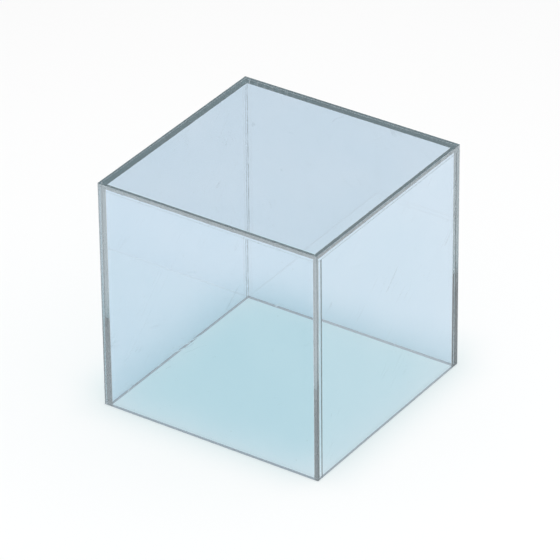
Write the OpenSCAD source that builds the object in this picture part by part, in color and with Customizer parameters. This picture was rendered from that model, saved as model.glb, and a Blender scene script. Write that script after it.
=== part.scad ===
// Five-sided acrylic display cube, standing open side down.
// Four walls are cemented into a square and a top sheet is cemented over their upper edges.
// Front and back walls run the full width and cover the ends of the two side walls.
// Origin: centre of the footprint, on the surface the cube stands on. +Z is up, -Y is the front.

/* [Cube] */
// Outside length of every edge of the cube
cube_size = 150; // [100:1:300]
// Thickness of the acrylic sheet
sheet_t = 4; // [3:0.5:8]

/* [Joints] */
// Thickness of the cement film left in each butt joint
cement_t = 0.1; // [0.05:0.05:0.2]
// Leg of the small bead of cement inside each corner
bead_leg = 0.3; // [0.2:0.1:1]

/* [Edges] */
// Width scraped off each outer corner edge of the sheets
arris = 0.3; // [0.2:0.1:0.6]

/* [Hidden] */

half = cube_size / 2;
// Half the width of the hollow inside the walls
inner_half = half - sheet_t;
// Height of the hollow, up to the underside of the top sheet
inner_h = cube_size - sheet_t;
// Height of the four walls, which stop at the cement film under the top sheet
wall_h = inner_h - cement_t;
// Length of a side wall, which stops at a cement film at each end
side_l = 2 * (inner_half - cement_t);
// Colours of the sheet and of the cement
sheet_colour = [0.80, 0.88, 0.92, 0.45];
cement_colour = [0.62, 0.70, 0.76, 0.8];

// Square with its corners cut back by the arris, centred on the origin
module eased_square() {
    cut = half - arris;
    polygon([
        [-half, -cut], [-cut, -half], [cut, -half], [half, -cut],
        [half, cut], [cut, half], [-cut, half], [-half, cut]
    ]);
}

// Whole outer cube with all twelve outer edges eased
module outer_block() {
    translate([0, 0, half])
        intersection() {
            linear_extrude(cube_size, center = true) eased_square();
            rotate([90, 0, 0]) linear_extrude(cube_size, center = true) eased_square();
            rotate([0, 90, 0]) linear_extrude(cube_size, center = true) eased_square();
        }
}

// Part of the outer block between two opposite corners
module sheet(low, high) {
    color(sheet_colour)
        intersection() {
            outer_block();
            translate(low) cube(high - low);
        }
}

// Full-width wall on the -Y side; the back wall is the same sheet turned round
module full_wall() {
    sheet([-half, -half, 0], [half, -inner_half, wall_h]);
}

// Shorter wall on the -X side, held between the full-width walls
module side_wall() {
    sheet([-half, -side_l / 2, 0], [-inner_half, side_l / 2, wall_h]);
}

// Three-cornered bead of cement lying in an inside corner, along +Z
module bead(length) {
    linear_extrude(length) polygon([[0, 0], [bead_leg, 0], [0, bead_leg]]);
}

// Upright joint at the -X, -Y corner: a film on the side wall's end and a bead inside
module upright_cement() {
    color(cement_colour) {
        intersection() {
            outer_block();
            translate([-half, -inner_half, 0]) cube([sheet_t, cement_t, wall_h]);
        }
        translate([-inner_half, -inner_half, 0]) bead(inner_h - bead_leg);
    }
}

// Joint over the full-width wall on the -Y side, with a bead under the top sheet
module top_cement_full() {
    color(cement_colour) {
        intersection() {
            outer_block();
            translate([-half, -half, wall_h]) cube([cube_size, sheet_t, cement_t]);
        }
        translate([-inner_half, -inner_half, inner_h])
            rotate([0, 90, 0]) bead(2 * inner_half);
    }
}

// Joint over the side wall on the -X side, with a bead under the top sheet
module top_cement_side() {
    color(cement_colour) {
        translate([-half, -inner_half, wall_h]) cube([sheet_t, 2 * inner_half, cement_t]);
        translate([-inner_half, inner_half - bead_leg, inner_h])
            rotate([90, 90, 0]) bead(2 * (inner_half - bead_leg));
    }
}

module top_panel() {
    sheet([-half, -half, inner_h], [half, half, cube_size]);
}

module front_panel() {
    full_wall();
}

module back_panel() {
    rotate([0, 0, 180]) full_wall();
}

module left_panel() {
    side_wall();
}

module right_panel() {
    rotate([0, 0, 180]) side_wall();
}

module cement_front_left() {
    upright_cement();
}

module cement_front_right() {
    mirror([1, 0, 0]) upright_cement();
}

module cement_back_left() {
    mirror([0, 1, 0]) upright_cement();
}

module cement_back_right() {
    rotate([0, 0, 180]) upright_cement();
}

module cement_top_front() {
    top_cement_full();
}

module cement_top_back() {
    rotate([0, 0, 180]) top_cement_full();
}

module cement_top_left() {
    top_cement_side();
}

module cement_top_right() {
    rotate([0, 0, 180]) top_cement_side();
}

top_panel();
front_panel();
back_panel();
left_panel();
right_panel();
cement_front_left();
cement_front_right();
cement_back_left();
cement_back_right();
cement_top_front();
cement_top_back();
cement_top_left();
cement_top_right();
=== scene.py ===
"""Five-sided acrylic display cube on a plain pale floor.

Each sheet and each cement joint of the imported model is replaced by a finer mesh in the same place. The faces
that are cemented together are marked, and their shader lets light straight on, as a sound solvent joint does.
"""

import math

import bmesh
import bpy
from mathutils import Matrix, Vector


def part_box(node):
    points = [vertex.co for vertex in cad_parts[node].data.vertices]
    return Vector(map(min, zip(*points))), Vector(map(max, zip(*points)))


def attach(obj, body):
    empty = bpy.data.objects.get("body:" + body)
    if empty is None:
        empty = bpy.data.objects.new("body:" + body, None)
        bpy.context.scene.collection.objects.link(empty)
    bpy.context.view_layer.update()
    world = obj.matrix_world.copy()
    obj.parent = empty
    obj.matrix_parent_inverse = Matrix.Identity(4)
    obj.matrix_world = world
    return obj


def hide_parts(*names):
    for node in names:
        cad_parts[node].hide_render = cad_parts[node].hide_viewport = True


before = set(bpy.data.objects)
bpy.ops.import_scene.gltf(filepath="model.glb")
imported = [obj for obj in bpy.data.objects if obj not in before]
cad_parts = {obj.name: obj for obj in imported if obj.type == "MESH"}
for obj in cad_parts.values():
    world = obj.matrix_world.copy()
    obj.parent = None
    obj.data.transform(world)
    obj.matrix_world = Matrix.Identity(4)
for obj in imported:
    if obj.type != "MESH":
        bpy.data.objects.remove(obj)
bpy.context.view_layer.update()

MM = 0.001

# The cube's own sizes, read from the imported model
TOP_LOW, TOP_HIGH = (Vector(corner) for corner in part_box("top_panel"))
LEFT_HIGH = Vector(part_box("left_panel")[1])
HALF = TOP_HIGH.x
HEIGHT = TOP_HIGH.z
CEILING = TOP_LOW.z
INNER = -LEFT_HIGH.x
FILM = CEILING - LEFT_HIGH.z

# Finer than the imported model. A mouth is the groove where a joint comes to the outside
ARRIS = 0.3 * MM
MOUTH_UPRIGHT = 0.6 * MM
MOUTH_TOP = 0.06 * MM
WIDEST_BEVEL = 0.6 * MM
BEVEL_SEGMENTS = 3
BEAD = 0.3 * MM
CLEARANCE = 0.004 * MM
BEAD_RINGS = 73
BEAD_STEPS = 6
BEAD_REACH = 0.08
BEAD_WAVE = 0.03

# How far beyond a face or edge to look for more of the cube, and how close counts as touching
PROBE = 0.03 * MM
TOUCHING = 0.001 * MM

# Acrylic
IOR = 1.49
SHEET_TINT = (0.812, 0.888, 0.952)
SHEET_TINT_DEEP = (0.79, 0.876, 0.944)
SPECK_TINT = (0.5, 0.53, 0.54)
FOOT_ROUGHNESS = 0.3
CUT_ROUGHNESS = 0.14
STREAK_ROUGHNESS = 0.12
SCRATCH_ROUGHNESS = 0.25
ABSORBED_COLOUR = (0.0, 0.065, 0.06)
ABSORBED_PER_METRE = 3.8

# Surface detail of the sheets: scales in waves or cells per metre, reliefs in millimetres
CLOUD_SCALE = 22.0
WAVE_SCALE = 14.0
WAVE_RELIEF = 0.02
STREAK_SCALE = 1300.0
STREAK_SQUEEZE = 0.03
STREAK_RELIEF = 0.003
SCRATCH_SCALE = 160.0
SCRATCH_STRETCH = 14
SCRATCH_TURN = (0.5, 0.7, 0.9)
SCRATCH_WIDTH = 0.006
SCRATCH_RELIEF = 0.004
PATCH_SCALE = 60.0
SPECK_SCALE = 95.0
SPECK_RADIUS = 0.4 * MM
BUBBLE_SCALE = 900.0

# Cement
CEMENT_TINT = (0.90, 0.94, 0.96)
CEMENT_ROUGHNESS = 0.08
CEMENT_GRAIN_SCALE = 2600.0
CEMENT_GRAIN_DEPTH = 0.02 * MM
CEMENT_GRAIN_STRENGTH = 0.25

# What the light that falls on the floor loses at a face of a wall, of the lid and of a wall's foot
WALL_LAMP_TINT = (0.975, 0.985, 0.988)
LID_LAMP_TINT = (0.56, 0.80, 0.835)
FOOT_LAMP_TINT = (0.55, 0.57, 0.58)

# Camera, as seen from the middle of the cube
AZIMUTH = 34.16
ELEVATION = 31.37
ROLL = 0.62
DISTANCE = 2.757
TARGET = (0.00035, -0.0016, 0.0726)
LENS = 304.6
SENSOR = 36.0

# Studio
FLOOR_RADIUS = 12.0
FLOOR_DROP = 0.1 * MM
FLOOR_COLOUR = (0.9, 0.9, 0.9)
FLOOR_ROUGHNESS = 0.9
# The sky gets brighter along the slope
SKY_LEVEL = 0.56
SKY_SLOPE = (0.31, 0.14, 0.0)
SOFTBOX_SIZE = 0.8
SOFTBOX_AT = (0.09, -0.13, 2.6)
SOFTBOX_WATTS = 39.3


# ---------------------------------------------------------------- shape


def inside_cube(point):
    """True where the finished cube is solid: sheet, cement film or bead."""
    x, y, z = abs(point.x), abs(point.y), point.z
    if x > HALF or y > HALF or z < 0 or z > HEIGHT:
        return False
    if x > INNER or y > INNER or z > CEILING:
        return True
    return (x > INNER - BEAD) + (y > INNER - BEAD) + (z > CEILING - BEAD) >= 2


def is_bonded(centre, normal):
    """True for a flat face with more of the cube right behind it, but not for the grooves at the mouths."""
    if max(abs(part) for part in normal) < 0.99:
        return False
    if max(normal.x * centre.x, normal.y * centre.y) > HALF - 2 * WIDEST_BEVEL:
        return False
    return inside_cube(centre + normal * PROBE)


def mark_faces(mesh, thin=None):
    """Marks each face for the materials. thin is the axis through a sheet, and cement has none.

    bond: cemented to another piece.
    foot: the cube stands on it.
    lid: a broad side of the top sheet.
    level_cut, upright_cut: a sawn edge of a sheet, by the way it runs.
    """
    for name in ("bond", "foot", "lid", "level_cut", "upright_cut"):
        mesh.attributes.new(name, "FLOAT", "FACE")
    for face in mesh.polygons:
        normal, centre = face.normal, face.center
        cut = thin is not None and abs(normal[thin]) < 0.99
        values = {
            "bond": is_bonded(centre, normal),
            "foot": normal.z < -0.3 and centre.z < 2 * ARRIS,
            "lid": abs(normal.z) > 0.9 and centre.z > CEILING - FILM,
            "level_cut": cut and thin == 2,
            "upright_cut": cut and thin != 2,
        }
        for name, value in values.items():
            mesh.attributes[name].data[face.index].value = float(value)


def new_piece(name, bm, node, material):
    """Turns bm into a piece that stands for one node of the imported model."""
    mesh = bpy.data.meshes.new(name)
    bm.normal_update()
    bm.to_mesh(mesh)
    bm.free()
    piece = bpy.data.objects.new(name, mesh)
    bpy.context.scene.collection.objects.link(piece)
    mesh.materials.append(material)
    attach(piece, "root")
    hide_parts(node)
    return piece


def box_mesh(low, high):
    bm = bmesh.new()
    size = high - low
    place = Matrix.Translation((low + high) / 2) @ Matrix.Diagonal((*size, 1.0))
    bmesh.ops.create_cube(bm, size=1.0, matrix=place)
    return bm


def cut_mesh(bm, axis, at):
    """Adds edges where a plane across one axis meets the mesh, and takes nothing away."""
    normal = Vector((0, 0, 0))
    normal[axis] = 1
    place = normal * at
    geometry = bm.verts[:] + bm.edges[:] + bm.faces[:]
    bmesh.ops.bisect_plane(bm, geom=geometry, plane_co=place, plane_no=normal)


def outer_sides(point):
    """How many of the cube's outer planes a point lies on."""
    gaps = (abs(point.x) - HALF, abs(point.y) - HALF, point.z - HEIGHT, point.z)
    return sum(abs(gap) < TOUCHING for gap in gaps)


def edge_weight(edge):
    """Share of the widest bevel for an outer edge of the cube or the mouth of a joint, otherwise 0."""
    if len(edge.link_faces) != 2 or edge.calc_face_angle(0) < 1:
        return 0.0
    middle = (edge.verts[0].co + edge.verts[1].co) / 2
    sides = outer_sides(middle)
    if sides >= 2:
        return ARRIS / WIDEST_BEVEL
    ahead = [middle + face.normal * PROBE for face in edge.link_faces]
    if sides == 1 and any(inside_cube(point) for point in ahead):
        upright = abs(edge.verts[0].co.z - edge.verts[1].co.z) > MM
        return (MOUTH_UPRIGHT if upright else MOUTH_TOP) / WIDEST_BEVEL
    return 0.0


def ease_edges(piece):
    """Bevels the edges by their weights and keeps the result as the piece's mesh."""
    bevel = piece.modifiers.new("arris", "BEVEL")
    bevel.limit_method = "WEIGHT"
    bevel.width = WIDEST_BEVEL
    bevel.segments = BEVEL_SEGMENTS
    bevel.use_clamp_overlap = False
    bpy.context.view_layer.update()
    depsgraph = bpy.context.evaluated_depsgraph_get()
    eased = bpy.data.meshes.new_from_object(piece.evaluated_get(depsgraph))
    piece.modifiers.clear()
    plain = piece.data
    piece.data = eased
    bpy.data.meshes.remove(plain)


def part_faces(mesh, low, high):
    """Cuts the faces of a sheet apart where joints and beads meet them."""
    bm = bmesh.new()
    bm.from_mesh(mesh)
    across = (-INNER, -INNER + BEAD, INNER - BEAD, INNER)
    for axis, places in enumerate((across, across, (CEILING - BEAD,))):
        for at in places:
            if low[axis] + PROBE < at < high[axis] - PROBE:
                cut_mesh(bm, axis, at)
    bm.to_mesh(mesh)
    bm.free()


def make_sheet(name, node, material):
    """One sheet, with its edges eased and its faces parted for their marks."""
    low, high = (Vector(corner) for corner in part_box(node))
    bm = box_mesh(low, high)
    bm.normal_update()
    weights = bm.edges.layers.float.new("bevel_weight_edge")
    for edge in bm.edges:
        edge[weights] = edge_weight(edge)
    piece = new_piece(name, bm, node, material)
    ease_edges(piece)
    part_faces(piece.data, low, high)
    size = high - low
    mark_faces(piece.data, min(range(3), key=lambda axis: size[axis]))


def bead_reach(along, phase):
    """How far the bead's hollow face stands from the corner, as a share of its leg."""
    wave = math.sin(along * 410 + phase) + 0.6 * math.sin(along * 1130 + 2.3 * phase)
    return BEAD_REACH + BEAD_WAVE * wave


def bead_ring(reach):
    """Cross-section of a bead: two legs on the sheets and a hollow face between them."""
    low = CLEARANCE
    ring = [(low, low), (BEAD, low)]
    for step in range(1, BEAD_STEPS):
        share = step / BEAD_STEPS
        middle = 2 * share * (1 - share)
        x = BEAD * ((1 - share) ** 2 + middle * reach)
        y = BEAD * (share**2 + middle * reach)
        ring.append((x, y))
    ring.append((low, BEAD))
    return ring


def add_bead(bm, corner, along, side_a, side_b, length, phase):
    """Sweeps a bead from corner along an inside corner, with its legs on side_a and side_b."""
    rings = []
    for index in range(BEAD_RINGS):
        distance = length * index / (BEAD_RINGS - 1)
        start = corner + along * distance
        ring = bead_ring(bead_reach(distance, phase))
        rings.append([bm.verts.new(start + side_a * a + side_b * b) for a, b in ring])
    count = len(rings[0])
    for first, second in zip(rings, rings[1:]):
        for index in range(count):
            after = (index + 1) % count
            bm.faces.new((first[index], first[after], second[after], second[index]))
    bm.faces.new(list(reversed(rings[0])))
    bm.faces.new(rings[-1])


def add_film(bm, low, high):
    """Adds the thin box of cement between two sheets."""
    part = box_mesh(low, high)
    copies = {vert: bm.verts.new(vert.co) for vert in part.verts}
    for face in part.faces:
        bm.faces.new([copies[vert] for vert in face.verts])
    part.free()


def finish_joint(name, bm, node, material):
    bmesh.ops.recalc_face_normals(bm, faces=bm.faces)
    piece = new_piece(name, bm, node, material)
    mark_faces(piece.data)


def make_upright_joint(name, node, material, side_x, side_y, phase):
    """Film on a side wall's end and a bead up the inside corner."""
    bm = bmesh.new()
    outer, inner = HALF - MOUTH_UPRIGHT, INNER + CLEARANCE
    near, far = INNER - FILM + CLEARANCE, INNER - CLEARANCE
    xs, ys = sorted((side_x * outer, side_x * inner)), sorted((side_y * near, side_y * far))
    low = Vector((xs[0], ys[0], MOUTH_UPRIGHT))
    high = Vector((xs[1], ys[1], CEILING - FILM - CLEARANCE))
    add_film(bm, low, high)
    corner = Vector((side_x * INNER, side_y * INNER, 0))
    inward_x, inward_y = Vector((-side_x, 0, 0)), Vector((0, -side_y, 0))
    up = Vector((0, 0, 1))
    add_bead(bm, corner, up, inward_x, inward_y, CEILING - BEAD - CLEARANCE, phase)
    finish_joint(name, bm, node, material)


def make_top_joint(name, node, material, across, along, film_half, bead_half, phase):
    """Film over a wall's upper edge and a bead under the top sheet. across points outwards."""
    bm = bmesh.new()
    down = Vector((0, 0, -1))
    corners = []
    for out, side in ((INNER + CLEARANCE, -film_half), (HALF - MOUTH_TOP, film_half)):
        corners.append(across * out + along * side)
    low = Vector([min(a, b) for a, b in zip(*corners)])
    high = Vector([max(a, b) for a, b in zip(*corners)])
    low.z = CEILING - FILM + CLEARANCE
    high.z = CEILING - CLEARANCE
    add_film(bm, low, high)
    corner = across * INNER - along * bead_half
    corner.z = CEILING
    add_bead(bm, corner, along, -across, down, 2 * bead_half, phase)
    finish_joint(name, bm, node, material)


# ---------------------------------------------------------------- materials


def new_material(name):
    material = bpy.data.materials.new(name)
    material.use_nodes = True
    material.node_tree.nodes.clear()
    return material, material.node_tree


def add_node(tree, kind, **values):
    """Adds a node and sets its inputs by name, with _ for a space."""
    made = tree.nodes.new(kind)
    for name, value in values.items():
        made.inputs[name.replace("_", " ")].default_value = value
    return made


def rgba(colour):
    return (*colour, 1.0)


def noise(tree, place, scale, detail=2.0, stretch=(1, 1, 1)):
    """Noise in the object's own coordinates, in cycles per metre, stretched along an axis."""
    mapping = add_node(tree, "ShaderNodeMapping")
    mapping.inputs["Scale"].default_value = stretch
    tree.links.new(place, mapping.inputs["Vector"])
    made = add_node(tree, "ShaderNodeTexNoise", Scale=scale, Detail=detail)
    tree.links.new(mapping.outputs["Vector"], made.inputs["Vector"])
    return made.outputs["Fac"]


def remap(tree, value, from_low, from_high, to_low, to_high):
    """Maps one range onto another, and holds the value at the ends."""
    made = add_node(tree, "ShaderNodeMapRange")
    made.inputs["From Min"].default_value = from_low
    made.inputs["From Max"].default_value = from_high
    made.inputs["To Min"].default_value = to_low
    made.inputs["To Max"].default_value = to_high
    tree.links.new(value, made.inputs["Value"])
    return made.outputs["Result"]


def calculate(tree, operation, first, second):
    """One Math node on two numbers or outputs."""
    made = add_node(tree, "ShaderNodeMath")
    made.operation = operation
    for socket, value in zip(made.inputs, (first, second)):
        if isinstance(value, (int, float)):
            socket.default_value = value
        else:
            tree.links.new(value, socket)
    return made.outputs[0]


def mix_colours(tree, share, first, second):
    """From first to second by share. Each is an RGB tuple or an output."""
    made = add_node(tree, "ShaderNodeMix")
    made.data_type = "RGBA"
    for socket, colour in ((made.inputs[6], first), (made.inputs[7], second)):
        if isinstance(colour, tuple):
            socket.default_value = rgba(colour)
        else:
            tree.links.new(colour, socket)
    tree.links.new(share, made.inputs[0])
    return made.outputs[2]


def face_mark(tree, name):
    """One of the marks that mark_faces leaves."""
    made = add_node(tree, "ShaderNodeAttribute")
    made.attribute_name = name
    return made.outputs["Fac"]


def lets_lamps_through(tree, glass):
    """Glass to the eye, and a tinted clear face to the rays that light the floor behind it."""
    light_path = add_node(tree, "ShaderNodeLightPath")
    tint = mix_colours(tree, face_mark(tree, "lid"), WALL_LAMP_TINT, LID_LAMP_TINT)
    tint = mix_colours(tree, face_mark(tree, "foot"), tint, FOOT_LAMP_TINT)
    shaded = glass
    for name in ("Is Diffuse Ray", "Is Shadow Ray"):
        clear = add_node(tree, "ShaderNodeBsdfTransparent")
        tree.links.new(tint, clear.inputs["Color"])
        mix = add_node(tree, "ShaderNodeMixShader")
        tree.links.new(light_path.outputs[name], mix.inputs[0])
        tree.links.new(shaded, mix.inputs[1])
        tree.links.new(clear.outputs[0], mix.inputs[2])
        shaded = mix.outputs[0]
    return shaded


def open_where_bonded(tree, shaded, place):
    """Lets everything straight on through the faces marked as bonded, but for a few small bubbles."""
    clear = add_node(tree, "ShaderNodeBsdfTransparent", Color=(1, 1, 1, 1))
    mix = add_node(tree, "ShaderNodeMixShader")
    sound = remap(tree, noise(tree, place, BUBBLE_SCALE, 0.0), 0.80, 0.83, 1, 0)
    tree.links.new(calculate(tree, "MULTIPLY", face_mark(tree, "bond"), sound), mix.inputs[0])
    tree.links.new(shaded, mix.inputs[1])
    tree.links.new(clear.outputs[0], mix.inputs[2])
    return mix.outputs[0]


def specks(tree, place, scale, radius):
    """1 in sparse round spots, with soft rims."""
    made = add_node(tree, "ShaderNodeTexVoronoi", Scale=scale)
    tree.links.new(place, made.inputs["Vector"])
    return remap(tree, made.outputs["Distance"], 0.6 * radius * scale, radius * scale, 1, 0)


def cut_streaks(tree, place):
    """Cutter marks across the thickness of the sawn edges, 0 on the broad faces."""
    level = noise(tree, place, STREAK_SCALE, 3.0, (1, 1, STREAK_SQUEEZE))
    upright = noise(tree, place, STREAK_SCALE, 3.0, (STREAK_SQUEEZE, STREAK_SQUEEZE, 1))
    level = calculate(tree, "MULTIPLY", level, face_mark(tree, "level_cut"))
    upright = calculate(tree, "MULTIPLY", upright, face_mark(tree, "upright_cut"))
    return calculate(tree, "ADD", level, upright)


def hairlines(tree, place):
    """Short thin scratches from wiping: contour lines of a drawn-out noise, kept only in patches."""
    mapping = add_node(tree, "ShaderNodeMapping")
    mapping.vector_type = "TEXTURE"
    mapping.inputs["Rotation"].default_value = SCRATCH_TURN
    mapping.inputs["Scale"].default_value = (1, SCRATCH_STRETCH, SCRATCH_STRETCH)
    tree.links.new(place, mapping.inputs["Vector"])
    drawn = noise(tree, mapping.outputs["Vector"], SCRATCH_SCALE, 0.0)
    line = calculate(tree, "COMPARE", drawn, 0.5)
    line.node.inputs[2].default_value = SCRATCH_WIDTH
    patches = remap(tree, noise(tree, place, PATCH_SCALE, 1.0), 0.56, 0.62, 0, 1)
    return calculate(tree, "MULTIPLY", line, patches)


def sheet_tint(tree, place):
    """Faint clouds of a deeper tint, and dust specks."""
    cloud = remap(tree, noise(tree, place, CLOUD_SCALE, 3.0), 0.35, 0.65, 0, 1)
    tint = mix_colours(tree, cloud, SHEET_TINT, SHEET_TINT_DEEP)
    return mix_colours(tree, specks(tree, place, SPECK_SCALE, SPECK_RADIUS), tint, SPECK_TINT)


def sheet_roughness(tree, streaks, scratches):
    """Polished broad faces with scratches, duller streaky cut edges and matt feet."""
    cut = calculate(tree, "ADD", face_mark(tree, "level_cut"), face_mark(tree, "upright_cut"))
    dull = calculate(tree, "MULTIPLY", cut, CUT_ROUGHNESS)
    roughness = calculate(tree, "ADD", dull, calculate(tree, "MULTIPLY", streaks, STREAK_ROUGHNESS))
    scratched = calculate(tree, "MULTIPLY", scratches, SCRATCH_ROUGHNESS)
    roughness = calculate(tree, "MAXIMUM", roughness, scratched)
    foot = calculate(tree, "MULTIPLY", face_mark(tree, "foot"), FOOT_ROUGHNESS)
    return calculate(tree, "MAXIMUM", roughness, foot)


def sheet_relief(tree, place, streaks, scratches):
    """Slow waves over the broad faces, cutter marks on the edges and cut-in scratches."""
    waves = calculate(tree, "MULTIPLY", noise(tree, place, WAVE_SCALE, 1.0), WAVE_RELIEF)
    relief = calculate(tree, "ADD", waves, calculate(tree, "MULTIPLY", streaks, STREAK_RELIEF))
    relief = calculate(tree, "SUBTRACT", relief, calculate(tree, "MULTIPLY", scratches, SCRATCH_RELIEF))
    bump = add_node(tree, "ShaderNodeBump", Strength=1.0, Distance=MM)
    tree.links.new(relief, bump.inputs["Height"])
    return bump.outputs[0]


def acrylic_material():
    material, tree = new_material("acrylic_sheet")
    place = add_node(tree, "ShaderNodeTexCoord").outputs["Object"]
    streaks = cut_streaks(tree, place)
    scratches = hairlines(tree, place)
    glass = add_node(tree, "ShaderNodeBsdfPrincipled", IOR=IOR, Transmission_Weight=1.0)
    tree.links.new(sheet_tint(tree, place), glass.inputs["Base Color"])
    tree.links.new(sheet_roughness(tree, streaks, scratches), glass.inputs["Roughness"])
    tree.links.new(sheet_relief(tree, place, streaks, scratches), glass.inputs["Normal"])
    shaded = lets_lamps_through(tree, glass.outputs[0])
    shaded = open_where_bonded(tree, shaded, place)
    volume = add_node(tree, "ShaderNodeVolumeAbsorption", Density=ABSORBED_PER_METRE)
    volume.inputs["Color"].default_value = rgba(ABSORBED_COLOUR)
    output = add_node(tree, "ShaderNodeOutputMaterial")
    tree.links.new(shaded, output.inputs["Surface"])
    tree.links.new(volume.outputs[0], output.inputs["Volume"])
    return material


def cement_material():
    material, tree = new_material("acrylic_cement")
    place = add_node(tree, "ShaderNodeTexCoord").outputs["Object"]
    glass = add_node(tree, "ShaderNodeBsdfPrincipled", IOR=IOR, Transmission_Weight=1.0)
    glass.inputs["Base Color"].default_value = rgba(CEMENT_TINT)
    glass.inputs["Roughness"].default_value = CEMENT_ROUGHNESS
    bump = add_node(tree, "ShaderNodeBump", Strength=CEMENT_GRAIN_STRENGTH, Distance=CEMENT_GRAIN_DEPTH)
    tree.links.new(noise(tree, place, CEMENT_GRAIN_SCALE, 2.0), bump.inputs["Height"])
    tree.links.new(bump.outputs[0], glass.inputs["Normal"])
    shaded = lets_lamps_through(tree, glass.outputs[0])
    shaded = open_where_bonded(tree, shaded, place)
    output = add_node(tree, "ShaderNodeOutputMaterial")
    tree.links.new(shaded, output.inputs["Surface"])
    return material


def floor_material():
    material, tree = new_material("floor_paper")
    paper = add_node(tree, "ShaderNodeBsdfPrincipled", Roughness=FLOOR_ROUGHNESS)
    paper.inputs["Base Color"].default_value = rgba(FLOOR_COLOUR)
    paper.inputs["Specular IOR Level"].default_value = 0.0
    output = add_node(tree, "ShaderNodeOutputMaterial")
    tree.links.new(paper.outputs[0], output.inputs["Surface"])
    return material


# ---------------------------------------------------------------- studio


def make_floor():
    bm = bmesh.new()
    bmesh.ops.create_circle(bm, cap_ends=True, radius=FLOOR_RADIUS, segments=96)
    mesh = bpy.data.meshes.new("floor")
    bm.to_mesh(mesh)
    bm.free()
    floor = bpy.data.objects.new("floor", mesh)
    floor.location.z = -FLOOR_DROP
    bpy.context.scene.collection.objects.link(floor)
    mesh.materials.append(floor_material())


def make_sky():
    world = bpy.data.worlds.new("studio")
    bpy.context.scene.world = world
    world.use_nodes = True
    tree = world.node_tree
    tree.nodes.clear()
    direction = add_node(tree, "ShaderNodeTexCoord").outputs["Generated"]
    slope = add_node(tree, "ShaderNodeVectorMath")
    slope.operation = "DOT_PRODUCT"
    slope.inputs[1].default_value = SKY_SLOPE
    tree.links.new(direction, slope.inputs[0])
    level = add_node(tree, "ShaderNodeMath")
    level.operation = "ADD"
    level.inputs[1].default_value = SKY_LEVEL
    tree.links.new(slope.outputs["Value"], level.inputs[0])
    background = add_node(tree, "ShaderNodeBackground", Strength=1.0)
    tree.links.new(level.outputs[0], background.inputs["Color"])
    output = add_node(tree, "ShaderNodeOutputWorld")
    tree.links.new(background.outputs[0], output.inputs["Surface"])


def make_softbox():
    light = bpy.data.lights.new("softbox", "AREA")
    light.size = SOFTBOX_SIZE
    light.energy = SOFTBOX_WATTS
    softbox = bpy.data.objects.new("softbox", light)
    place = Vector(SOFTBOX_AT)
    softbox.location = place
    softbox.rotation_euler = (-place).to_track_quat("-Z", "Y").to_euler()
    softbox.visible_glossy = False
    softbox.visible_transmission = False
    bpy.context.scene.collection.objects.link(softbox)


def make_camera():
    azimuth, elevation = math.radians(AZIMUTH), math.radians(ELEVATION)
    flat = math.cos(elevation)
    back = Vector((math.sin(azimuth) * flat, -math.cos(azimuth) * flat, math.sin(elevation)))
    data = bpy.data.cameras.new("camera")
    data.sensor_width = SENSOR
    data.lens = LENS
    data.clip_end = 100.0
    camera = bpy.data.objects.new("camera", data)
    turn = back.to_track_quat("Z", "Y").to_matrix() @ Matrix.Rotation(math.radians(-ROLL), 3, "Z")
    camera.matrix_world = Matrix.Translation(Vector(TARGET) + back * DISTANCE) @ turn.to_4x4()
    bpy.context.scene.collection.objects.link(camera)
    bpy.context.scene.camera = camera


def set_light_paths():
    """Light runs a long way inside the sheets, so its bounces aren't cut short."""
    scene = bpy.context.scene
    scene.cycles.max_bounces = 96
    scene.cycles.transmission_bounces = 96
    scene.cycles.glossy_bounces = 96
    scene.cycles.diffuse_bounces = 4
    scene.cycles.transparent_max_bounces = 96
    scene.cycles.min_light_bounces = 48
    scene.cycles.min_transparent_bounces = 48
    scene.cycles.caustics_reflective = False
    scene.cycles.caustics_refractive = False
    scene.view_settings.view_transform = "Standard"


# ---------------------------------------------------------------- the cube

make_camera()
make_floor()
make_sky()
make_softbox()
set_light_paths()

acrylic = acrylic_material()
cement = cement_material()
for side in ("top", "front", "back", "left", "right"):
    make_sheet(side + "_sheet", side + "_panel", acrylic)

for index, (end, side_y) in enumerate((("front", -1), ("back", 1))):
    for turn, (side, side_x) in enumerate((("left", -1), ("right", 1))):
        place = end + "_" + side
        make_upright_joint(place + "_joint", "cement_" + place, cement, side_x, side_y, index + 2 * turn)

FULL, SHORT = HALF - MOUTH_TOP, INNER - CLEARANCE
X, Y = Vector((1, 0, 0)), Vector((0, 1, 0))
make_top_joint("top_front_joint", "cement_top_front", cement, -Y, X, FULL, INNER - CLEARANCE, 4)
make_top_joint("top_back_joint", "cement_top_back", cement, Y, X, FULL, INNER - CLEARANCE, 5)
make_top_joint("top_left_joint", "cement_top_left", cement, -X, Y, SHORT, INNER - BEAD - CLEARANCE, 6)
make_top_joint("top_right_joint", "cement_top_right", cement, X, Y, SHORT, INNER - BEAD - CLEARANCE, 7)
